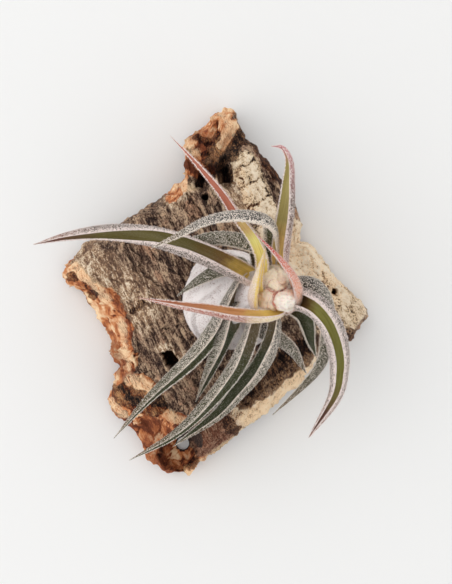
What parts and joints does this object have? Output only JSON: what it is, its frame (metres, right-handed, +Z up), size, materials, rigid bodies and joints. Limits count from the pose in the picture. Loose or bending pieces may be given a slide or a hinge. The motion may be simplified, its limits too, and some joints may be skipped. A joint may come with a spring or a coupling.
{
  "type": "tillandsia pruinosa on cork bark",
  "caption": "Bulbous air plant with curling channelled leaves, seated on a flat-lying piece of cork bark that it rests on.",
  "frame": {"origin": "middle of the footprint, on the surface that the bark lies on", "axes": "+Z up from the surface, +Y towards the narrow peak of the bark, +X towards its pale lobe"},
  "size_m": [0.1078, 0.1215, 0.075],
  "materials": {
    "cork": "rough, fibrous, torn at the edges",
    "sheath": "matt, frosted with fine silver scales",
    "bud": "matt, pearly",
    "bract": "matt, finely hairy",
    "young_leaf": "matt, finely hairy",
    "red_leaf": "matt, finely hairy",
    "leaf": "matt, frosted with silver scales"
  },
  "bodies": {
    "root": {"cork_bark": "cork", "pseudobulb": "sheath", "flower_bud": "bud", "bract_pink": "bract", "leaf_inner_folded": "young_leaf", "leaf_red_spear": "red_leaf", "leaf_orange_left": "young_leaf", "leaf_long_left": "leaf", "leaf_silver_arch": "leaf", "leaf_tall_right": "leaf", "leaf_long_right": "leaf", "leaf_behind_right": "leaf", "leaf_lower_left_1": "leaf", "leaf_lower_left_2": "leaf", "leaf_lower_left_3": "leaf", "leaf_lower_left_4": "leaf", "leaf_small_right": "leaf", "leaf_small_lower": "leaf", "leaf_behind_arch": "leaf", "leaf_short_on_bulb": "leaf"}
  },
  "joints": []
}
